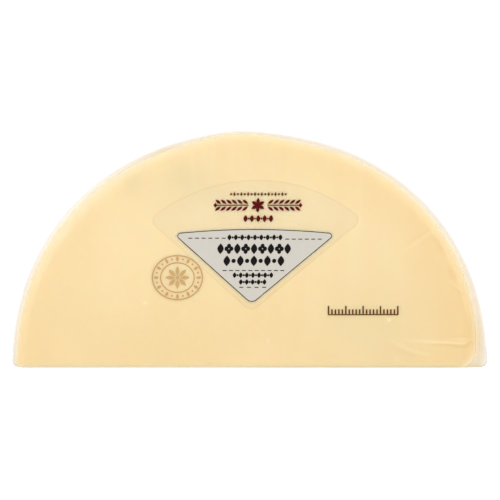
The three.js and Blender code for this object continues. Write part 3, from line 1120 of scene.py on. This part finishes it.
# %% Print the dark red garland
# Sizes are in mm. A row has its centre and height on the label, how many motifs it has, its
# width, a leaf's width and height, and a dot's width.
GARLAND_X, GARLAND_Z, GARLAND_HALF = 0.6, 34.5, 13.7
PETALS, PETAL_REACH, PETAL, HEART = 6, 1.25, (2.2, 1.2), 1.1
PAIRS, FIRST_PAIR, PAIR_PITCH = 6, 3.4, 1.75
SPRIG_LEAF, SPRIG_ASIDE, SPRIG_UP = (2.3, 0.9), 0.7, 1.1
SPRIG_SPLAY = math.radians(38)
STEM_SHIFT, STEM_WIDTH, END_LOZENGE = 0.5, 0.3, (1.2, 1.6)
SMALL_RED_ROW = (0.9, 30.2, 9, 8.2, (1.4, 2.3), 0.6)

bm = bmesh.new()
for petal in range(PETALS):
    angle = math.tau * (petal + 0.5) / PETALS
    leaf(bm, GARLAND_X + PETAL_REACH * math.cos(angle),
         GARLAND_Z + PETAL_REACH * math.sin(angle), *PETAL, angle)
disc(bm, GARLAND_X, GARLAND_Z, HEART, HEART)
for side in (-1, 1):
    for pair in range(PAIRS):
        x = GARLAND_X + side * (FIRST_PAIR + PAIR_PITCH * pair)
        for way in (-1, 1):
            angle = RIGHT_ANGLE - side * (RIGHT_ANGLE - way * SPRIG_SPLAY)
            leaf(bm, x + side * SPRIG_ASIDE, GARLAND_Z + way * SPRIG_UP, *SPRIG_LEAF, angle)
        bar(bm, x + side * STEM_SHIFT, GARLAND_Z, PAIR_PITCH, STEM_WIDTH)
    disc(bm, GARLAND_X + side * GARLAND_HALF, GARLAND_Z, *END_LOZENGE, corners=4)
leaves_and_dots(bm, *SMALL_RED_ROW)
print_ink("red_garland", bm, red_ink)

# %% Print the brown beads
BEADS, BEADS_WIDTH, BEADS_Z = 17, 17.6, 38.05
BEAD_WIDTH, BEAD_HEIGHTS = 0.9, (0.9, 1.4)

bm = bmesh.new()
for i, x in enumerate(spread(BEADS, BEADS_WIDTH)):
    disc(bm, GARLAND_X + x, BEADS_Z, BEAD_WIDTH, BEAD_HEIGHTS[i % 2], corners=4)
print_ink("brown_beads", bm, brown_ink)

# %% Print the black bands
# A row of dashes has its left end, its right end and its height on the label.
DASH_LENGTH, DASH_HEIGHT, DASH_PITCH = 1.25, 0.28, 2.05
DASH_ROWS = ((-21.3, -9.3, 23.9), (9.9, 21.6, 23.6), (-9.8, 10, 13.5), (-4.2, 4.4, 8.1))
LEAF_ROWS = (
    (0.1, 24.15, 17, 16.4, (1.3, 1.9), 0.7),
    (0.1, 16.6, 9, 17.4, (2.2, 3.4), 1.4),
    (0, 12.0, 13, 11.8, (1.25, 1.85), 0.7),
    (0, 9.8, 9, 7.6, (1.25, 1.8), 0.7),
)
BIG_ROW, BIG_ROW_WIDTH, BIG_ROW_Z = 9, 21.6, 20.5
BIG_LEAF, CLOVER_LEAF, CLOVER_REACH = (3.4, 2.1), (1.3, 1.5), (0.78, 0.9)

bm = bmesh.new()
for left, right, z in DASH_ROWS:
    for x in spread(round((right - left) / DASH_PITCH), right - left - DASH_LENGTH):
        bar(bm, (left + right) / 2 + x, z, DASH_LENGTH, DASH_HEIGHT)
for row in LEAF_ROWS:
    leaves_and_dots(bm, *row)
for i, x in enumerate(spread(BIG_ROW, BIG_ROW_WIDTH)):
    if i % 2:
        for angle in (0, RIGHT_ANGLE, 2 * RIGHT_ANGLE, 3 * RIGHT_ANGLE):
            disc(bm, x + CLOVER_REACH[0] * math.cos(angle),
                 BIG_ROW_Z + CLOVER_REACH[1] * math.sin(angle), *CLOVER_LEAF)
    else:
        leaf(bm, x, BIG_ROW_Z, *BIG_LEAF, RIGHT_ANGLE)
print_ink("black_bands", bm, black_ink)

# %% [markdown]
# A golden-brown rosette and a dark-brown row of measuring ticks are printed on the bag itself,
# beside the sticker. They're placed in mm across and up from the middle of the foot.

# %% Print the rosette on the bag
SEAL_X, SEAL_Z, SEAL_WIDTH, SEAL_HEIGHT = -23.25, 29.1, 16.5, 14.6
OUTER_LINE, INNER_LINE, INNER_SHARE = 0.42, 0.38, 0.68
SEAL_BEADS, BEADS_SHARE, SEAL_LEAF, SEAL_DOT = 24, 0.415, (1.7, 0.95), 0.65
SEAL_PETALS, SEAL_PETAL, SEAL_PETAL_REACH, SEAL_HEART = 8, (3.1, 1.15), (2.4, 2.15), (1.2, 1.1)

bm = bmesh.new()
ring(bm, SEAL_X, SEAL_Z, SEAL_WIDTH, SEAL_HEIGHT, OUTER_LINE)
ring(bm, SEAL_X, SEAL_Z, INNER_SHARE * SEAL_WIDTH, INNER_SHARE * SEAL_HEIGHT, INNER_LINE)
for bead in range(SEAL_BEADS):
    angle = math.tau * bead / SEAL_BEADS
    x = SEAL_X + BEADS_SHARE * SEAL_WIDTH * math.cos(angle)
    z = SEAL_Z + BEADS_SHARE * SEAL_HEIGHT * math.sin(angle)
    if bead % 2:
        disc(bm, x, z, SEAL_DOT, SEAL_DOT, DOT_CORNERS)
    else:
        leaf(bm, x, z, *SEAL_LEAF, angle)
for petal in range(SEAL_PETALS):
    angle = math.tau * petal / SEAL_PETALS
    leaf(bm, SEAL_X + SEAL_PETAL_REACH[0] * math.cos(angle),
         SEAL_Z + SEAL_PETAL_REACH[1] * math.sin(angle), *SEAL_PETAL, angle)
disc(bm, SEAL_X, SEAL_Z, *SEAL_HEART)
print_ink("golden_rosette", bm, gold_ink, on_label=False)

# %% Print the ticks on the bag
TICKS, TICKS_X, TICKS_FOOT, TICKS_WIDTH = 21, 36.5, 17.4, 22.3
TICK_WIDTH, SHORT_TICK, LONG_TICK, LONG_EVERY = 0.48, 1.5, 2.6, 5
TICKS_LINE, LINE_DROP = 0.34, 0.2

bm = bmesh.new()
for i, x in enumerate(spread(TICKS, TICKS_WIDTH)):
    height = SHORT_TICK if i % LONG_EVERY else LONG_TICK
    bar(bm, TICKS_X + x, TICKS_FOOT + height / 2, TICK_WIDTH, height)
bar(bm, TICKS_X, TICKS_FOOT - LINE_DROP, TICKS_WIDTH + TICK_WIDTH, TICKS_LINE)
print_ink("brown_ticks", bm, brown_ink, on_label=False)

# %% [markdown]
# ## The studio
#
# The pack stands in a white light tent on a sheet of lit white acrylic, which is how such pure
# white grounds are made without a shadow. The tent is a plain white world. Four soft boxes stand
# at its corners, so far to the sides that the flat film doesn't mirror them into the lens. They
# light the pack evenly from the front and the back, and draw glints along the rim.

# %% Build the stage
FLOOR_SIZE = 4
FLOOR_GREY = "#595959"
FLOOR_GLOW = 0.93

acrylic, tree, _ = new_material("lit_white_acrylic")
sheet = add_node(tree, "ShaderNodeBsdfPrincipled", {
    "Base Color": linear(FLOOR_GREY), "Roughness": 0.6, "Specular IOR Level": 0.1,
    "Emission Color": linear("#FFFFFF"), "Emission Strength": FLOOR_GLOW})
add_node(tree, "ShaderNodeOutputMaterial", {"Surface": sheet})

bm = bmesh.new()
bmesh.ops.create_grid(bm, x_segments=4, y_segments=4, size=FLOOR_SIZE / 2)
floor_mesh = bpy.data.meshes.new("floor")
bm.to_mesh(floor_mesh)
bm.free()
floor_mesh.materials.append(acrylic)
floor = bpy.data.objects.new("floor", floor_mesh)
bpy.context.collection.objects.link(floor)

# %% Hang the lights
TENT_LIGHT = 1.07
SOFT_BOX_SIZE = (0.4, 0.5)
SOFT_BOX_POWER = 0.6
SOFT_BOXES = [(side, depth, 0.2) for depth in (-0.75, 0.75) for side in (-0.5, 0.5)]

world = bpy.data.worlds.new("light_tent")
world.use_nodes = True
tent = world.node_tree.nodes["Background"]
tent.inputs["Color"].default_value = (1, 1, 1, 1)
tent.inputs["Strength"].default_value = TENT_LIGHT
bpy.context.scene.world = world

for place in SOFT_BOXES:
    light = bpy.data.lights.new("soft_box", "AREA")
    light.shape, light.energy = "RECTANGLE", SOFT_BOX_POWER
    light.size, light.size_y = SOFT_BOX_SIZE
    box = bpy.data.objects.new("soft_box", light)
    box.location = place
    aim = Vector((0, 0, HEIGHT / 2)) - box.location
    box.rotation_euler = aim.to_track_quat("-Z", "Y").to_euler()
    bpy.context.collection.objects.link(box)
bpy.context.scene.view_settings.view_transform = "Standard"
print("soft boxes:", len(SOFT_BOXES))
